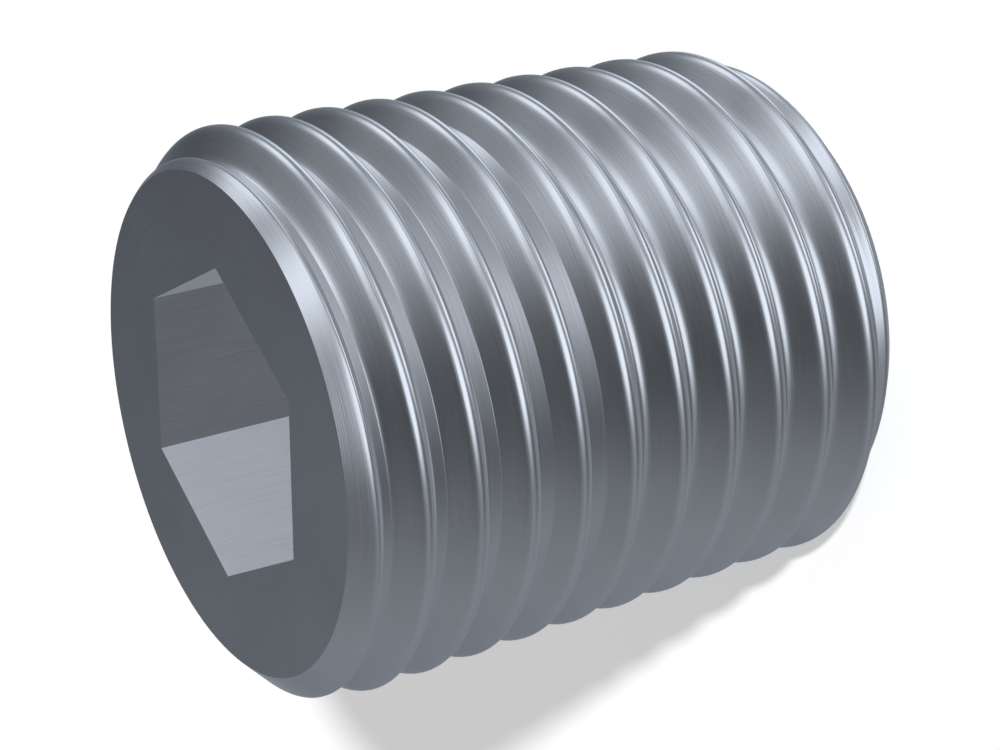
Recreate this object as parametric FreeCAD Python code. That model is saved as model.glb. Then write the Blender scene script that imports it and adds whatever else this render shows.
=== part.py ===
import FreeCAD
import Part
import math
import os

from FreeCAD import Vector

# Hex socket plug: a headless plug with an outside taper pipe thread over its
# whole length and a hexagonal key socket in its large end. It stands on its
# small end at Z = 0, with +Z up the axis. Lengths are in millimetres, angles in degrees.

# Plug
PLUG_LENGTH = 15.75
CREST_DIAMETER = 14.13  # where the crest cone meets the plane of the socket face
DIAMETER_TAPER = 1.0 / 16.0
SOCKET_END_CHAMFER = 0.86
SMALL_END_CHAMFER = 1.13

# Thread
THREAD_PITCH = 1.4111  # 18 threads to the inch
FLANK_HALF_ANGLE = 30.0
LAND_PER_PITCH = 0.125
DEPTH_PER_PITCH = 0.61
THREAD_START_ANGLE = 338.8  # of the groove's middle in the plane of the small end

# Socket
SOCKET_SIDES = 6
ACROSS_FLATS = 7.0
SOCKET_DEPTH = 7.0
DRILL_ALLOWANCE = 0.2  # the pilot drill is this much smaller than the hexagon
DRILL_POINT_ANGLE = 120.0

# Plain core left round the socket, seen as flat bands in the first grooves
CORE_STEP = 0.034  # its height over the thread root at the socket face
CORE_OVERRUN = 0.2  # how far it runs on below the socket floor

# Margin by which the cutters pass the faces that they open
CUT_MARGIN = 2.0

CREST_LAND = LAND_PER_PITCH * THREAD_PITCH
THREAD_DEPTH = DEPTH_PER_PITCH * THREAD_PITCH
RADIUS_TAPER = DIAMETER_TAPER / 2.0
FULL_TURN = 360.0
ORIGIN = Vector(0, 0, 0)
AXIS = Vector(0, 0, 1)


def crest_radius(height):
    """Radius of the crest cone at a height above the small end."""
    return CREST_DIAMETER / 2.0 - (PLUG_LENGTH - height) * RADIUS_TAPER


def turned(outline):
    """Solid turned about the axis from (radius, height) corners."""
    corners = [Vector(radius, 0, height) for radius, height in outline]
    face = Part.Face(Part.makePolygon(corners + corners[:1]))
    return face.revolve(ORIGIN, AXIS, FULL_TURN)


def make_blank():
    """Taper blank with both ends chamfered at 45 degrees, before threading."""
    low = SMALL_END_CHAMFER
    high = PLUG_LENGTH - SOCKET_END_CHAMFER
    return turned(
        [
            (0, 0),
            (crest_radius(low) - SMALL_END_CHAMFER, 0),
            (crest_radius(low), low),
            (crest_radius(high), high),
            (crest_radius(high) - SOCKET_END_CHAMFER, PLUG_LENGTH),
            (0, PLUG_LENGTH),
        ]
    )


def make_thread_groove():
    """Right-hand helical groove on the crest cone, running out past both ends."""
    start = -CUT_MARGIN
    radius = crest_radius(start)
    travel = PLUG_LENGTH + 2.0 * CUT_MARGIN
    cone_angle = math.degrees(math.atan(RADIUS_TAPER))
    helix = Part.makeLongHelix(THREAD_PITCH, travel, radius, cone_angle)
    helix.translate(Vector(0, 0, start))

    # The section widens past the crest, but leaves room between its own turns.
    flank_slope = math.tan(math.radians(FLANK_HALF_ANGLE))
    half_mouth = (THREAD_PITCH - CREST_LAND) / 2.0
    widening = CREST_LAND / 4.0
    half_outer = half_mouth + widening
    half_root = half_mouth - THREAD_DEPTH * flank_slope
    outer_radius = radius + widening / flank_slope
    root_radius = radius - THREAD_DEPTH
    section = Part.makePolygon(
        [
            Vector(outer_radius, 0, start + half_outer),
            Vector(root_radius, 0, start + half_root),
            Vector(root_radius, 0, start - half_root),
            Vector(outer_radius, 0, start - half_outer),
            Vector(outer_radius, 0, start + half_outer),
        ]
    )
    groove = helix.makePipeShell([section], True, True)
    turns_below = CUT_MARGIN / THREAD_PITCH
    groove.rotate(ORIGIN, AXIS, THREAD_START_ANGLE - FULL_TURN * turns_below)
    return groove


def make_core(blank):
    """Plain cylinder round the socket, trimmed by the chamfer of the blank."""
    radius = crest_radius(PLUG_LENGTH) - THREAD_DEPTH + CORE_STEP
    length = SOCKET_DEPTH + CORE_OVERRUN
    bottom = Vector(0, 0, PLUG_LENGTH - length)
    return Part.makeCylinder(radius, length, bottom, AXIS).common(blank)


def make_socket():
    """Hexagonal key socket with corners on the X axis, over its drill point."""
    half_side_angle = math.pi / SOCKET_SIDES
    corner_radius = ACROSS_FLATS / (2.0 * math.cos(half_side_angle))
    floor = PLUG_LENGTH - SOCKET_DEPTH
    corners = []
    for corner in range(SOCKET_SIDES + 1):
        angle = 2.0 * half_side_angle * corner
        x = corner_radius * math.cos(angle)
        y = corner_radius * math.sin(angle)
        corners.append(Vector(x, y, floor))
    hexagon = Part.Face(Part.makePolygon(corners))
    prism = hexagon.extrude(AXIS * (SOCKET_DEPTH + CUT_MARGIN))

    drill_radius = (ACROSS_FLATS - DRILL_ALLOWANCE) / 2.0
    point_depth = drill_radius / math.tan(math.radians(DRILL_POINT_ANGLE / 2.0))
    drill_point = turned([(0, floor - point_depth), (drill_radius, floor), (0, floor)])
    return prism.fuse(drill_point)


def make_plug():
    """Blank, thread, plain core and socket as one solid."""
    blank = make_blank()
    threaded = blank.cut(make_thread_groove())
    return threaded.fuse(make_core(blank)).cut(make_socket())


os.makedirs("parts", exist_ok=True)
plug_body = make_plug()
plug_body.exportStep("parts/plug_body.step")
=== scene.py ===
"""Hex socket plug with an outside taper pipe thread.

The plug stands on its small end in a plain white studio.
"""

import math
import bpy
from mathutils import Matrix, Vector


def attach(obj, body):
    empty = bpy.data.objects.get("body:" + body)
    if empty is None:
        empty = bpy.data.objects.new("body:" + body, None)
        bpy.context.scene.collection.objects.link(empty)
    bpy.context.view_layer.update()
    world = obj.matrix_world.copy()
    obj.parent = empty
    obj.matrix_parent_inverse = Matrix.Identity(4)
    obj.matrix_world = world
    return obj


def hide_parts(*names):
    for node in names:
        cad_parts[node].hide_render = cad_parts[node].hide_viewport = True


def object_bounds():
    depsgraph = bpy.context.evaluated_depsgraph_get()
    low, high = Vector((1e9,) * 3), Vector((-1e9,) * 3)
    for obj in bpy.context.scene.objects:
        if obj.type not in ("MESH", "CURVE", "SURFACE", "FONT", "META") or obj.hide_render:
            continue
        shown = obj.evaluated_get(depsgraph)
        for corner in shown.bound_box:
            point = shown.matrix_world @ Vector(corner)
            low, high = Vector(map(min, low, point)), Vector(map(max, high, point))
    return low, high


bl_info = {
    "name": "Hex Socket Plug",
    "version": (1, 0, 0),
    "blender": (4, 5, 0),
    "location": "3D View > Sidebar > Plug",
    "description": "Builds a taper-threaded plug with a key socket, and its studio",
    "category": "Add Mesh",
}

import bpy
import numpy as np
from bpy.props import FloatProperty, FloatVectorProperty, IntProperty, PointerProperty
from mathutils import Quaternion, Vector

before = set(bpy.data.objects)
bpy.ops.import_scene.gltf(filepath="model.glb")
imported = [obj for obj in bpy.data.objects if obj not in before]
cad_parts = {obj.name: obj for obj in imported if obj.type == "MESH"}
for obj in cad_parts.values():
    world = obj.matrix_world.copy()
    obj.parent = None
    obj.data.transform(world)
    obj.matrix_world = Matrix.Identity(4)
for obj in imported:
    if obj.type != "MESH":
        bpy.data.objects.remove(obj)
cad_low, cad_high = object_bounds()

MM = 0.001
INCH = 25.4 * MM
THREADS_PER_INCH = 18
WHITE = (1.0, 1.0, 1.0, 1.0)
PLUG_LENGTH = cad_high.z - cad_low.z
CAD_NODE = "plug_body"


def length(name, description, default):
    """A length property in metres, to a thousandth of a millimetre."""
    return FloatProperty(
        name=name, description=description, default=default, precision=6, unit="LENGTH"
    )


def degrees(name, description, default):
    """An angle property, with its default given in degrees."""
    return FloatProperty(
        name=name, description=description, default=math.radians(default), unit="ROTATION"
    )


def share(name, description, default):
    """A property between 0 and 1."""
    return FloatProperty(
        name=name, description=description, default=default, min=0.0, max=1.0
    )


def tint(name, description, default):
    """A colour property."""
    return FloatVectorProperty(
        name=name,
        description=description,
        default=default,
        subtype="COLOR",
        min=0.0,
        max=1.0,
    )


class PlugShape(bpy.types.PropertyGroup):
    """Sizes of the plug, its thread and its key socket."""

    plug_length: length("Plug length", "From the small end to the socket face", PLUG_LENGTH)
    pitch: length("Pitch", "From one crest to the next", INCH / THREADS_PER_INCH)
    crest_radius: length("Crest radius", "Crest cone where it meets the face", 7.065 * MM)
    crest_land: length("Crest land", "Width of the crest before it is rounded", 0.222 * MM)
    edge_rounding: length("Edge rounding", "Radius of the sharpest outer edges", 0.06 * MM)
    crest_blend: length("Crest blend", "Width over which crest and flank merge", 0.19 * MM)
    root_rounding: length("Root rounding", "Radius at the bottom of the groove", 0.178 * MM)
    core_radius: length("Core radius", "Plain core left round the socket", 6.237 * MM)
    core_length: length("Core length", "Reach of the plain core below the face", 7.2 * MM)
    face_radius: length("Face radius", "Flat socket face, inside its chamfer", 6.18 * MM)
    end_radius: length("Small end radius", "Flat small end, inside its chamfer", 5.40 * MM)
    across_flats: length("Across flats", "Width of the hexagonal socket", 7.0 * MM)
    socket_depth: length("Socket depth", "From the face to the socket's floor", 7.0 * MM)
    drill_radius: length("Drill radius", "Radius of the pilot drill's point", 3.4 * MM)
    taper: FloatProperty(
        name="Taper",
        description="Radius lost per unit of length",
        default=1.0 / 32.0,
        precision=5,
    )
    flank_angle: degrees(
        "Flank angle", "Between a flank and the plane across the axis", 30.0
    )
    face_chamfer: degrees(
        "Face chamfer", "Between the socket face's chamfer and the axis", 46.5
    )
    end_chamfer: degrees(
        "Small end chamfer", "Between the small end's chamfer and the axis", 49.0
    )
    start_angle: degrees(
        "Thread start", "Groove's middle in the plane of the small end", 338.8
    )
    columns: IntProperty(
        name="Columns", description="Divisions of the thread in a turn", default=192, min=24
    )
    rows: IntProperty(
        name="Rows", description="Divisions of the thread in a pitch", default=40, min=12
    )


class SteelFinish(bpy.types.PropertyGroup):
    """Colour and surface of the machined steel."""

    colour: tint("Steel", "Base colour of the bare steel", (0.325, 0.355, 0.4))
    socket_colour: tint("Socket steel", "Base colour in the socket", (0.325, 0.355, 0.4))
    roughness: share("Roughness", "Roughness of the turned faces", 0.22)
    socket_roughness: share("Socket roughness", "Roughness of the socket's walls", 0.25)
    mark_depth: length("Mark depth", "Depth of the lathe and broach lines", 0.0015 * MM)


class StudioSetup(bpy.types.PropertyGroup):
    """Camera, sun and floor of the studio."""

    lens: FloatProperty(
        name="Lens", description="Focal length in millimetres", default=112.05
    )
    azimuth: degrees("Azimuth", "From the plug to the camera, from +X towards +Y", 177.875)
    elevation: degrees(
        "Elevation", "Camera's height over the plane across the axis", 28.384
    )
    roll: degrees("Roll", "Turn of the camera about its line of sight", 104.151)
    distance: length("Distance", "From the camera to the point it aims at", 77.638 * MM)
    aim: FloatVectorProperty(
        name="Aim",
        description="Point on the camera's line of sight",
        default=(0.126 * MM, 0.441 * MM, 8.078 * MM),
        subtype="TRANSLATION",
        unit="LENGTH",
    )
    sun_azimuth: degrees(
        "Sun azimuth", "From the plug to the sun, from +X towards +Y", 191.9
    )
    sun_elevation: degrees("Sun elevation", "Height of the sun over the floor", 28.3)
    sun_width: degrees("Sun width", "The wider, the softer the shadow's edge", 3.0)
    sun_energy: FloatProperty(
        name="Sun energy", description="Strength of the sun", default=3.0
    )
    floor_radius: length("Floor radius", "Round sheet of paper under the plug", 600.0 * MM)


class Nodes:
    """Adds nodes to one node tree and returns their outputs ready for arithmetic."""

    # A Mix node's colour sockets go by number, because its kinds of socket share names.
    MIX_FIRST = 6
    MIX_SECOND = 7
    MIX_RESULT = 2

    def __init__(self, tree):
        self.tree = tree
        tree.nodes.clear()

    def add(self, kind, settings=None, inputs=None, output=0):
        """A node of one type: its settings first, then its sockets' values or links."""
        node = self.tree.nodes.new(kind)
        for name, value in (settings or {}).items():
            setattr(node, name, value)
        for name, value in (inputs or {}).items():
            if isinstance(value, Socket):
                self.tree.links.new(value.link, node.inputs[name])
            else:
                node.inputs[name].default_value = value
        return Socket(self, node.outputs[output]) if node.outputs else None

    def maths(self, operation, *values):
        """One Math node."""
        return self.add("ShaderNodeMath", {"operation": operation}, dict(enumerate(values)))

    def clamp(self, value):
        """The value held between 0 and 1."""
        return self.add("ShaderNodeClamp", inputs={"Value": value})

    def split(self, vector):
        """The three parts of a vector."""
        part = self.add("ShaderNodeSeparateXYZ", inputs={"Vector": vector})
        outputs = part.link.node.outputs
        return [Socket(self, outputs[axis]) for axis in "XYZ"]

    def facing(self, first, second):
        """Dot product of two directions."""
        settings = {"operation": "DOT_PRODUCT"}
        return self.add("ShaderNodeVectorMath", settings, {0: first, 1: second}, output=1)

    def noise(self, *places):
        """Smooth noise from 0 to 1 with cells one unit wide."""
        vector = self.add("ShaderNodeCombineXYZ", inputs=dict(enumerate(places)))
        inputs = {"Vector": vector, "Scale": 1.0, "Detail": 2.0, "Roughness": 0.5}
        return self.add("ShaderNodeTexNoise", inputs=inputs)

    def mix(self, factor, first, second):
        """Blend of two colours."""
        inputs = {"Factor": factor, self.MIX_FIRST: first, self.MIX_SECOND: second}
        settings = {"data_type": "RGBA"}
        return self.add("ShaderNodeMix", settings, inputs, output=self.MIX_RESULT)

    def seen(self):
        """1 for the rays that come straight from the camera."""
        return self.add("ShaderNodeLightPath", output="Is Camera Ray")

    def mirrored(self):
        """1 for the rays that steel and glass send out."""
        glossy = self.add("ShaderNodeLightPath", output="Is Glossy Ray")
        through = self.add("ShaderNodeLightPath", output="Is Transmission Ray")
        return self.maths("MAXIMUM", glossy, through)


class Socket:
    """A node's output that builds Math nodes from Python arithmetic."""

    def __init__(self, nodes, link):
        self.nodes = nodes
        self.link = link

    def __add__(self, other):
        return self.nodes.maths("ADD", self, other)

    def __radd__(self, other):
        return self.nodes.maths("ADD", other, self)

    def __sub__(self, other):
        return self.nodes.maths("SUBTRACT", self, other)

    def __rsub__(self, other):
        return self.nodes.maths("SUBTRACT", other, self)

    def __mul__(self, other):
        return self.nodes.maths("MULTIPLY", self, other)

    def __rmul__(self, other):
        return self.nodes.maths("MULTIPLY", other, self)

    def __truediv__(self, other):
        return self.nodes.maths("DIVIDE", self, other)

    def __pow__(self, other):
        return self.nodes.maths("POWER", self, other)

    def __gt__(self, other):
        return self.nodes.maths("GREATER_THAN", self, other)

    def __lt__(self, other):
        return self.nodes.maths("LESS_THAN", self, other)


def deselect():
    """Leaves edit mode and selects nothing."""
    if bpy.context.object and bpy.context.object.mode != "OBJECT":
        bpy.ops.object.mode_set(mode="OBJECT")
    bpy.ops.object.select_all(action="DESELECT")


def name_active(name):
    """Names the object that was added last, and its data."""
    piece = bpy.context.object
    piece.name = name
    piece.data.name = name
    return piece


# The thread's section is worked out in fine steps along the axis, past both ends.
SECTION_STEP = 0.005 * MM
SECTION_MARGIN = 0.4 * MM
EASED_STEPS = 3  # to each side, over which a corner is eased

# Rows are spaced by length along the section and by how much it turns: this length and
# this turn count the same.
ROW_ARC = 0.16 * MM
ROW_TURN = math.radians(12.0)
ANCHOR_LEVEL = 0.3  # of the way up, where the rows are anchored to the middle of a crest


def smooth(values, reach):
    """Running mean over some steps to both sides that keeps the ends."""
    window = 2 * reach + 1
    padded = np.pad(values, reach, mode="edge")
    return np.convolve(padded, np.ones(window) / window, mode="valid")


def round_edges(radii, step, rounding):
    """Rolls a ball inside the section, so that every outer edge gets its radius."""
    reach = int(rounding / step)
    offsets = np.arange(-reach, reach + 1)
    ball = np.sqrt(rounding**2 - (offsets * step) ** 2)

    def rolled(section, sign, pick):
        padded = np.pad(section, reach, mode="edge")
        shifted = [
            padded[reach + offset : reach + offset + len(section)] + sign * height
            for offset, height in zip(offsets, ball)
        ]
        return pick(shifted, axis=0)

    return rolled(rolled(radii, -1.0, np.min), 1.0, np.max)


def thread_section(shape, angle, heights):
    """Radius of the plug at each height, in the half plane at one angle about the axis."""
    # Depth under the crest cone, from the height over or under the groove's middle
    crest = shape.crest_radius - shape.taper * (shape.plug_length - heights)
    turn = angle / math.tau
    middle = shape.pitch * (turn - shape.start_angle / math.tau)
    half_pitch = 0.5 * shape.pitch
    groove = np.abs((heights - middle + half_pitch) % shape.pitch - half_pitch)
    flank = 1.0 / math.tan(shape.flank_angle)
    half_mouth = 0.5 * (shape.pitch - shape.crest_land)
    depth = (half_mouth - groove) * flank

    # Arc at the root that runs into both flanks
    arc_centre = half_mouth * flank - shape.root_rounding / math.sin(shape.flank_angle)
    inside = np.clip(shape.root_rounding**2 - groove**2, 0.0, None)
    in_arc = groove < shape.root_rounding * math.cos(shape.flank_angle)
    depth = np.where(in_arc, arc_centre + np.sqrt(inside), depth)
    thread = crest - np.clip(depth, 0.0, None)

    # Chamfers, then rounded and blended crests
    below_face = shape.plug_length - heights
    face_cone = shape.face_radius + below_face * math.tan(shape.face_chamfer)
    end_cone = shape.end_radius + heights * math.tan(shape.end_chamfer)
    chamfered = np.minimum(thread, np.minimum(face_cone, end_cone))
    step = heights[1] - heights[0]
    rounded = round_edges(chamfered, step, shape.edge_rounding)
    rounded = smooth(rounded, round(0.5 * shape.crest_blend / step))

    # Plain core, which meets the flanks in a sharp corner
    core = np.where(below_face < shape.core_length, shape.core_radius, 0.0)
    return np.maximum(rounded, smooth(np.minimum(core, face_cone), EASED_STEPS))


def thread_rows(shape):
    """Heights and radii of the thread's rows, one column of them at a time round the axis.

    A row keeps its place on the thread's section, and so climbs one pitch in a turn.
    """
    top = shape.plug_length
    heights = np.arange(-SECTION_MARGIN, top + SECTION_MARGIN, SECTION_STEP)
    start_turn = shape.start_angle / math.tau
    anchor_turn = math.floor(ANCHOR_LEVEL * top / shape.pitch) + 0.5 - start_turn
    columns = []
    for column in range(shape.columns + 1):
        angle = math.tau * (column % shape.columns) / shape.columns
        radii = thread_section(shape, angle, heights)
        eased = smooth(radii, EASED_STEPS)
        arc = np.hypot(np.diff(heights), np.diff(eased))
        slope = np.arctan2(np.diff(eased), np.diff(heights))
        turning = np.abs(np.diff(slope, append=slope[-1]))
        weight = np.concatenate([[0.0], np.cumsum(arc / ROW_ARC + turning / ROW_TURN)])
        anchor = shape.pitch * (anchor_turn + column / shape.columns)
        columns.append((radii, weight, anchor))

    radii, weight, anchor = columns[0]
    pitch_ends = np.interp([anchor, anchor + shape.pitch], heights, weight)
    step = (pitch_ends[1] - pitch_ends[0]) / shape.rows
    first = last = 0
    for radii, weight, anchor in columns:
        start = np.interp(anchor, heights, weight)
        first = min(first, math.floor((np.interp(0.0, heights, weight) - start) / step))
        last = max(last, math.ceil((np.interp(top, heights, weight) - start) / step))
    places = np.arange(first, last + 1)

    row_heights, row_radii = [], []
    for radii, weight, anchor in columns:
        targets = np.interp(anchor, heights, weight) + places * step
        level = np.clip(np.interp(targets, weight, heights), 0.0, top)
        row_heights.append(level)
        row_radii.append(np.interp(level, heights, radii))
    return np.array(row_heights), np.array(row_radii)


MERGE_DISTANCE = 0.0002 * MM
SHORTEST_EDGE = 0.0001 * MM
RIM_TOLERANCE = 0.0005 * MM


def add_threaded_skin(shape):
    """A grid wrapped round the axis as the thread's surface, closed by two flat ends."""
    heights, radii = thread_rows(shape)
    columns, rows = heights.shape
    deselect()
    bpy.ops.mesh.primitive_grid_add(
        x_subdivisions=rows - 1, y_subdivisions=columns - 1, size=1.0
    )
    skin = name_active("threaded_plug")
    angles = math.tau * np.arange(columns) / (columns - 1)
    places = np.stack(
        [radii * np.cos(angles)[:, None], radii * np.sin(angles)[:, None], heights], axis=-1
    )
    skin.data.vertices.foreach_set("co", places.reshape(-1).astype(np.float32))
    skin.data.update()

    bpy.ops.object.mode_set(mode="EDIT")
    bpy.ops.mesh.select_mode(type="VERT")
    bpy.ops.mesh.select_all(action="SELECT")
    bpy.ops.mesh.remove_doubles(threshold=MERGE_DISTANCE)
    bpy.ops.mesh.dissolve_degenerate(threshold=SHORTEST_EDGE)
    for level in (0.0, shape.plug_length):
        close_end(skin, level)
    bpy.ops.mesh.select_all(action="SELECT")
    bpy.ops.mesh.normals_make_consistent(inside=False)
    deselect()
    return skin


def close_end(skin, level):
    """Fills the rim at one height with a flat face."""
    bpy.ops.mesh.select_all(action="DESELECT")
    bpy.ops.object.mode_set(mode="OBJECT")
    for vertex in skin.data.vertices:
        vertex.select = abs(vertex.co.z - level) < RIM_TOLERANCE
    bpy.ops.object.mode_set(mode="EDIT")
    bpy.ops.mesh.edge_face_add()


HEXAGON_SIDES = 6
DRILL_SIDES = 96
DRILL_HALF_ANGLE = math.radians(60.0)
CUTTER_OVERRUN = 2.0 * MM  # by which the cutters pass the face that they open
LOOKS_UP = 0.9  # least upward part of the normal of a face that looks up


def add_hexagon_cutter(shape):
    """Hexagonal prism with its corners on X, from the socket's floor out past the face."""
    height = shape.socket_depth + CUTTER_OVERRUN
    floor = shape.plug_length - shape.socket_depth
    half_side_angle = math.pi / HEXAGON_SIDES
    deselect()
    bpy.ops.mesh.primitive_cylinder_add(
        vertices=HEXAGON_SIDES,
        radius=shape.across_flats / (2.0 * math.cos(half_side_angle)),
        depth=height,
        location=(0.0, 0.0, floor + 0.5 * height),
        rotation=(0.0, 0.0, half_side_angle),
    )
    prism = name_active("socket_cutter")
    bpy.ops.object.transform_apply(location=True, rotation=True, scale=True)
    return prism


def add_drill_cutter(shape):
    """Point of the pilot drill under the socket's floor, with its shank in the socket."""
    floor = shape.plug_length - shape.socket_depth
    point_depth = shape.drill_radius / math.tan(DRILL_HALF_ANGLE)
    deselect()
    bpy.ops.mesh.primitive_cone_add(
        vertices=DRILL_SIDES,
        radius1=0.0,
        radius2=shape.drill_radius,
        depth=point_depth,
        location=(0.0, 0.0, floor - 0.5 * point_depth),
    )
    drill = name_active("pilot_drill")
    bpy.ops.object.transform_apply(location=True, rotation=True, scale=True)
    bpy.ops.object.mode_set(mode="EDIT")
    bpy.ops.mesh.select_all(action="DESELECT")
    bpy.ops.object.mode_set(mode="OBJECT")
    for face in drill.data.polygons:
        face.select = face.normal.z > LOOKS_UP
    bpy.ops.object.mode_set(mode="EDIT")
    bpy.ops.mesh.select_mode(type="FACE")
    lift = {"value": (0.0, 0.0, CUTTER_OVERRUN)}
    bpy.ops.mesh.extrude_region_move(TRANSFORM_OT_translate=lift)
    deselect()
    return drill


def cut(body, cutter):
    """Takes the cutter's volume out of the body and deletes the cutter."""
    deselect()
    body.select_set(True)
    bpy.context.view_layer.objects.active = body
    difference = body.modifiers.new("cut", "BOOLEAN")
    difference.operation = "DIFFERENCE"
    difference.solver = "EXACT"
    difference.object = cutter
    bpy.ops.object.modifier_apply(modifier=difference.name)
    bpy.data.objects.remove(cutter, do_unlink=True)


# Where each finish begins and ends
EDGE_SLACK = 0.02 * MM
SOCKET_REACH = 0.6  # of the width across flats, from the axis past the hexagon's corners
ABOVE_SMALL_END = 1.0 * MM
CREST_BAND = 0.07 * MM
GROOVE_BAND = 0.8 * MM
# Painted shade down the socket: where it begins below the face, and over how much depth it
# fades in
PAINTED_SHADE_START = 3.5 * MM
PAINTED_SHADE_FADE = 4.0 * MM

# Sizes of the tools' marks and of the cloudy patches in the colour
LATHE_STEP = 0.03 * MM
LATHE_RISE = 0.045 * MM
FACING_STEP = 0.045 * MM
BROACH_STEP = 0.06 * MM
BROACH_RUN = 2.5 * MM
TORN_SIZE = 0.3 * MM
CLOUD_SIZE = 2.4 * MM
DRIFT = 5.0 * MM  # over which a lathe line changes

# How far each of them moves the colour from its dark to its light end
MARKS_SHADE = 0.5
CLOUDS_SHADE = 0.7
CREST_SHADE = 0.14
GROOVE_SHADE = 0.12
STEEL_SPREAD = 0.12  # of the colour, either way
SOCKET_SPREAD = 0.14
# Painted shade down the socket: share of its dark colour, and that colour as a share of the
# socket's
PAINTED_SHADE_SHARE = 0.75  # of the dark colour at the bottom of the socket
PAINTED_SHADE_COLOUR = 0.25  # the dark colour, as a share of the socket's

# How far each of them moves the roughness
MARKS_ROUGHNESS = 0.09
CLOUDS_ROUGHNESS = 0.06
GROOVE_ROUGHNESS = 0.03
DEEP_ROUGHNESS = 0.2

GRAZING_TINT = (0.62, 0.66, 0.72, 1.0)
SHARP_ANGLE = math.radians(16.0)  # edges that turn further stay sharp


def scaled(colour, factor):
    """The colour made lighter or darker, with full alpha."""
    return (*[factor * part for part in colour], 1.0)


def shaded(nodes, shade, colour, spread):
    """The colour from its dark end at a shade of 0 to its light end at 1."""
    return nodes.mix(shade, scaled(colour, 1.0 - spread), scaled(colour, 1.0 + spread))


def steel_material(shape, finish):
    """Bare machined steel, with lathe lines outside, broach lines in the socket, and
    painted shade that darkens the socket towards its bottom.
    """
    material = bpy.data.materials.new("machined_steel")
    material.use_nodes = True
    nodes = Nodes(material.node_tree)
    place = nodes.add("ShaderNodeTexCoord", output="Object")
    x, y, height = nodes.split(place)
    from_axis = (x * x + y * y) ** 0.5

    # Masks of the plug's parts
    top = shape.plug_length
    floor = top - shape.socket_depth
    near_axis = from_axis < SOCKET_REACH * shape.across_flats
    in_socket = near_axis * (height < top - EDGE_SLACK) * (height > ABOVE_SMALL_END)
    on_floor = in_socket * (height < floor + EDGE_SLACK)
    on_end = (height > top - EDGE_SLACK) + (height < EDGE_SLACK)
    depth = shape.crest_radius - from_axis - shape.taper * (top - height)
    in_groove = nodes.clamp(depth / GROOVE_BAND)
    on_crest = nodes.clamp(1.0 - depth / CREST_BAND)
    # Painted shade: share of darkening towards the socket's bottom, which also makes the
    # steel rougher there
    painted_shade_depth = in_socket * nodes.clamp((top - height - PAINTED_SHADE_START) / PAINTED_SHADE_FADE)

    # Marks: lathe lines on the thread, facing rings on the ends, broach lines on the
    # socket's walls, and a torn floor
    slow = (x + y) / DRIFT
    turned = nodes.noise(depth / LATHE_STEP, height / LATHE_RISE, slow)
    faced = nodes.noise(from_axis / FACING_STEP, slow, height / MM)
    broached = nodes.noise(x / BROACH_STEP, y / BROACH_STEP, height / BROACH_RUN)
    torn = nodes.noise(x / TORN_SIZE, y / TORN_SIZE, height / MM)
    clouds = nodes.noise(x / CLOUD_SIZE, y / CLOUD_SIZE, height / CLOUD_SIZE)
    walls = broached + (torn - broached) * on_floor
    ends = turned + (faced - turned) * on_end
    marks = ends + (walls - ends) * in_socket
    relief = nodes.add(
        "ShaderNodeBump",
        inputs={"Height": marks, "Strength": 1.0, "Distance": finish.mark_depth},
    )

    # Colour, lighter on worn crests, darker down the grooves, and with painted shade down
    # the socket
    wear = CREST_SHADE * on_crest - GROOVE_SHADE * in_groove
    unevenness = MARKS_SHADE * (marks - 0.5) + CLOUDS_SHADE * (clouds - 0.5)
    shade = nodes.clamp(0.5 + unevenness + wear)
    colour = nodes.mix(
        in_socket,
        shaded(nodes, shade, finish.colour, STEEL_SPREAD),
        shaded(nodes, shade, finish.socket_colour, SOCKET_SPREAD),
    )
    # Painted shade: the colour darkens towards the bottom of the socket
    painted_shade_darkest = scaled(finish.socket_colour, PAINTED_SHADE_COLOUR)
    colour = nodes.mix(PAINTED_SHADE_SHARE * painted_shade_depth, colour, painted_shade_darkest)

    roughness = finish.roughness + in_socket * (finish.socket_roughness - finish.roughness)
    roughness = roughness + MARKS_ROUGHNESS * (marks - 0.5)
    roughness = roughness + CLOUDS_ROUGHNESS * (clouds - 0.5)
    roughness = roughness + GROOVE_ROUGHNESS * in_groove + DEEP_ROUGHNESS * painted_shade_depth
    shader = nodes.add(
        "ShaderNodeBsdfPrincipled",
        inputs={
            "Base Color": colour,
            "Metallic": 1.0,
            "Specular Tint": GRAZING_TINT,
            "Roughness": roughness,
            "Normal": relief,
        },
    )
    nodes.add("ShaderNodeOutputMaterial", inputs={"Surface": shader})
    return material


class PLUG_OT_add_plug(bpy.types.Operator):
    """Add the threaded plug with its key socket"""

    bl_idname = "plug.add_plug"
    bl_label = "Threaded Plug"

    def execute(self, context):
        shape = context.scene.plug_shape
        skin = add_threaded_skin(shape)
        for cutter in (add_hexagon_cutter(shape), add_drill_cutter(shape)):
            cut(skin, cutter)
        skin.data.materials.clear()
        skin.data.materials.append(steel_material(shape, context.scene.plug_finish))
        deselect()
        skin.select_set(True)
        context.view_layer.objects.active = skin
        bpy.ops.object.shade_smooth_by_angle(angle=SHARP_ANGLE)
        skin.visible_glossy = False  # the steel mirrors the studio and not itself
        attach(skin, "root")
        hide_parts(CAD_NODE)
        return {"FINISHED"}


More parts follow.
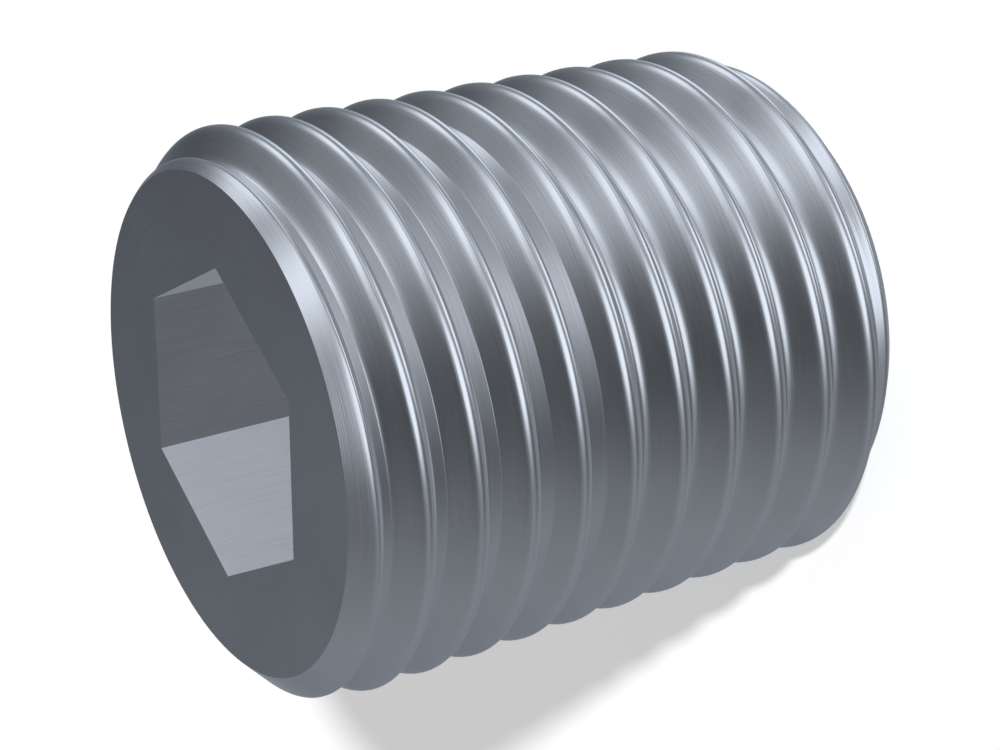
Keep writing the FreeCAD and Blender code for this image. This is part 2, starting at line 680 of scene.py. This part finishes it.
# Soft lights and shades that the steel mirrors: height over the horizon and bearing from
# the camera's own in degrees, strength, and tightness
SOFT_LIGHTS = {
    "key over the camera": (42, 8, 5.0, 22),
    "key at the camera": (18, 8, 2.6, 20),
    "high left": (59, -73, 2.2, 33),
    "left": (34, -58, 2.2, 27),
    "left rim": (24, -109, 3.8, 55),
    "low left": (-7, -60, 1.4, 29),
    "low strip": (-9, -36, 0.9, 50),
    "low left rim": (-40, -116, 3.2, 27),
    "from below": (-51, -22, 4.4, 28),
    "shade overhead": (76, 47, -0.5, 6),
    "shade behind": (20, -160, -0.45, 9),
    "shade low right": (-27, 41, -0.35, 9),
}
WORLD_LEVEL = 0.6
BRIGHTEST = 2.5

# The paper's colour, the world's light on it, and a glow that only the camera sees, so
# that it comes out white
PAPER = (0.95, 0.95, 0.95, 1.0)
PAPER_LEVEL = 0.25
PAPER_GLOW = 0.35

FLOOR_SIDES = 96
NEAREST_SEEN = 1.0 * MM
FARTHEST_SEEN = 10000.0 * MM


def towards(azimuth, elevation):
    """Unit vector in a direction from the plug."""
    flat = math.cos(elevation)
    return (math.cos(azimuth) * flat, math.sin(azimuth) * flat, math.sin(elevation))


def floor_material():
    """White paper that keeps the plug's shadow, and that mirrored rays pass through."""
    material = bpy.data.materials.new("white_floor")
    material.use_nodes = True
    nodes = Nodes(material.node_tree)
    paper = nodes.add("ShaderNodeBsdfDiffuse", inputs={"Color": PAPER})
    strength = nodes.seen() * PAPER_GLOW
    glow = nodes.add("ShaderNodeEmission", inputs={"Color": WHITE, "Strength": strength})
    lit = nodes.add("ShaderNodeAddShader", inputs={0: paper, 1: glow})
    clear = nodes.add("ShaderNodeBsdfTransparent", inputs={"Color": WHITE})
    floor = nodes.add("ShaderNodeMixShader", inputs={0: nodes.mirrored(), 1: lit, 2: clear})
    nodes.add("ShaderNodeOutputMaterial", inputs={"Surface": floor})
    return material


def studio_world(world, azimuth):
    """White to the camera, grey to paper, and soft lights round the plug for its steel."""
    world.use_nodes = True
    nodes = Nodes(world.node_tree)
    direction = nodes.add("ShaderNodeTexCoord", output="Generated")
    total = WORLD_LEVEL
    for elevation, bearing, strength, tightness in SOFT_LIGHTS.values():
        middle = towards(azimuth - math.radians(bearing), math.radians(elevation))
        facing = nodes.facing(direction, middle)
        glow = nodes.maths("EXPONENT", (facing - 1.0) * tightness)
        total = glow * strength + total
    total = nodes.maths("MINIMUM", nodes.maths("MAXIMUM", total, 0.0), BRIGHTEST)
    seen = nodes.seen()
    mirrored = nodes.mirrored()
    strength = seen + (1.0 - seen) * (mirrored * total + (1.0 - mirrored) * PAPER_LEVEL)
    background = nodes.add(
        "ShaderNodeBackground", inputs={"Color": WHITE, "Strength": strength}
    )
    nodes.add("ShaderNodeOutputWorld", inputs={"Surface": background})


def add_floor(studio):
    """Round sheet of paper at the plug's small end."""
    deselect()
    bpy.ops.mesh.primitive_circle_add(
        vertices=FLOOR_SIDES, radius=studio.floor_radius, fill_type="NGON"
    )
    floor = name_active("floor")
    floor.data.materials.append(floor_material())


def add_sun(studio):
    """A soft sun that lights the paper and is not mirrored in the steel."""
    turn = (0.0, math.radians(90.0) - studio.sun_elevation, studio.sun_azimuth)
    bpy.ops.object.light_add(type="SUN", rotation=turn)
    sun = name_active("low_sun")
    sun.data.energy = studio.sun_energy
    sun.data.angle = studio.sun_width
    sun.visible_glossy = False


def add_camera(studio):
    """Camera at the photograph's viewing angle, turned about its line of sight."""
    bpy.ops.object.camera_add()
    camera = bpy.context.object
    backwards = Vector(towards(studio.azimuth, studio.elevation))
    camera.location = Vector(studio.aim) + backwards * studio.distance
    upright = (-backwards).to_track_quat("-Z", "Y")
    turned = upright @ Quaternion((0.0, 0.0, 1.0), -studio.roll)
    camera.rotation_euler = turned.to_euler()
    camera.data.lens = studio.lens
    camera.data.clip_start = NEAREST_SEEN
    camera.data.clip_end = FARTHEST_SEEN
    return camera


class PLUG_OT_add_studio(bpy.types.Operator):
    """Add the floor, the lights and the camera"""

    bl_idname = "plug.add_studio"
    bl_label = "Studio"

    def execute(self, context):
        studio = context.scene.plug_studio
        add_floor(studio)
        if context.scene.world is None:
            context.scene.world = bpy.data.worlds.new("studio")
        studio_world(context.scene.world, studio.azimuth)
        add_sun(studio)
        context.scene.camera = add_camera(studio)
        context.scene.view_settings.view_transform = "Standard"
        return {"FINISHED"}


class PLUG_PT_panel(bpy.types.Panel):
    """Lists the plug's pieces and sizes in the sidebar"""

    bl_idname = "PLUG_PT_panel"
    bl_label = "Hex Socket Plug"
    bl_space_type = "VIEW_3D"
    bl_region_type = "UI"
    bl_category = "Plug"

    def draw(self, context):
        layout = self.layout
        layout.operator("plug.add_plug")
        layout.operator("plug.add_studio")
        scene = context.scene
        for group in (scene.plug_shape, scene.plug_finish, scene.plug_studio):
            box = layout.box()
            for name in group.__annotations__:
                box.prop(group, name)


CLASSES = (
    PlugShape,
    SteelFinish,
    StudioSetup,
    PLUG_OT_add_plug,
    PLUG_OT_add_studio,
    PLUG_PT_panel,
)


def register():
    for cls in CLASSES:
        bpy.utils.register_class(cls)
    bpy.types.Scene.plug_shape = PointerProperty(type=PlugShape)
    bpy.types.Scene.plug_finish = PointerProperty(type=SteelFinish)
    bpy.types.Scene.plug_studio = PointerProperty(type=StudioSetup)


def unregister():
    del bpy.types.Scene.plug_studio
    del bpy.types.Scene.plug_finish
    del bpy.types.Scene.plug_shape
    for cls in reversed(CLASSES):
        bpy.utils.unregister_class(cls)


def main():
    register()
    bpy.ops.plug.add_plug()
    bpy.ops.plug.add_studio()


if __name__ == "__main__":
    main()
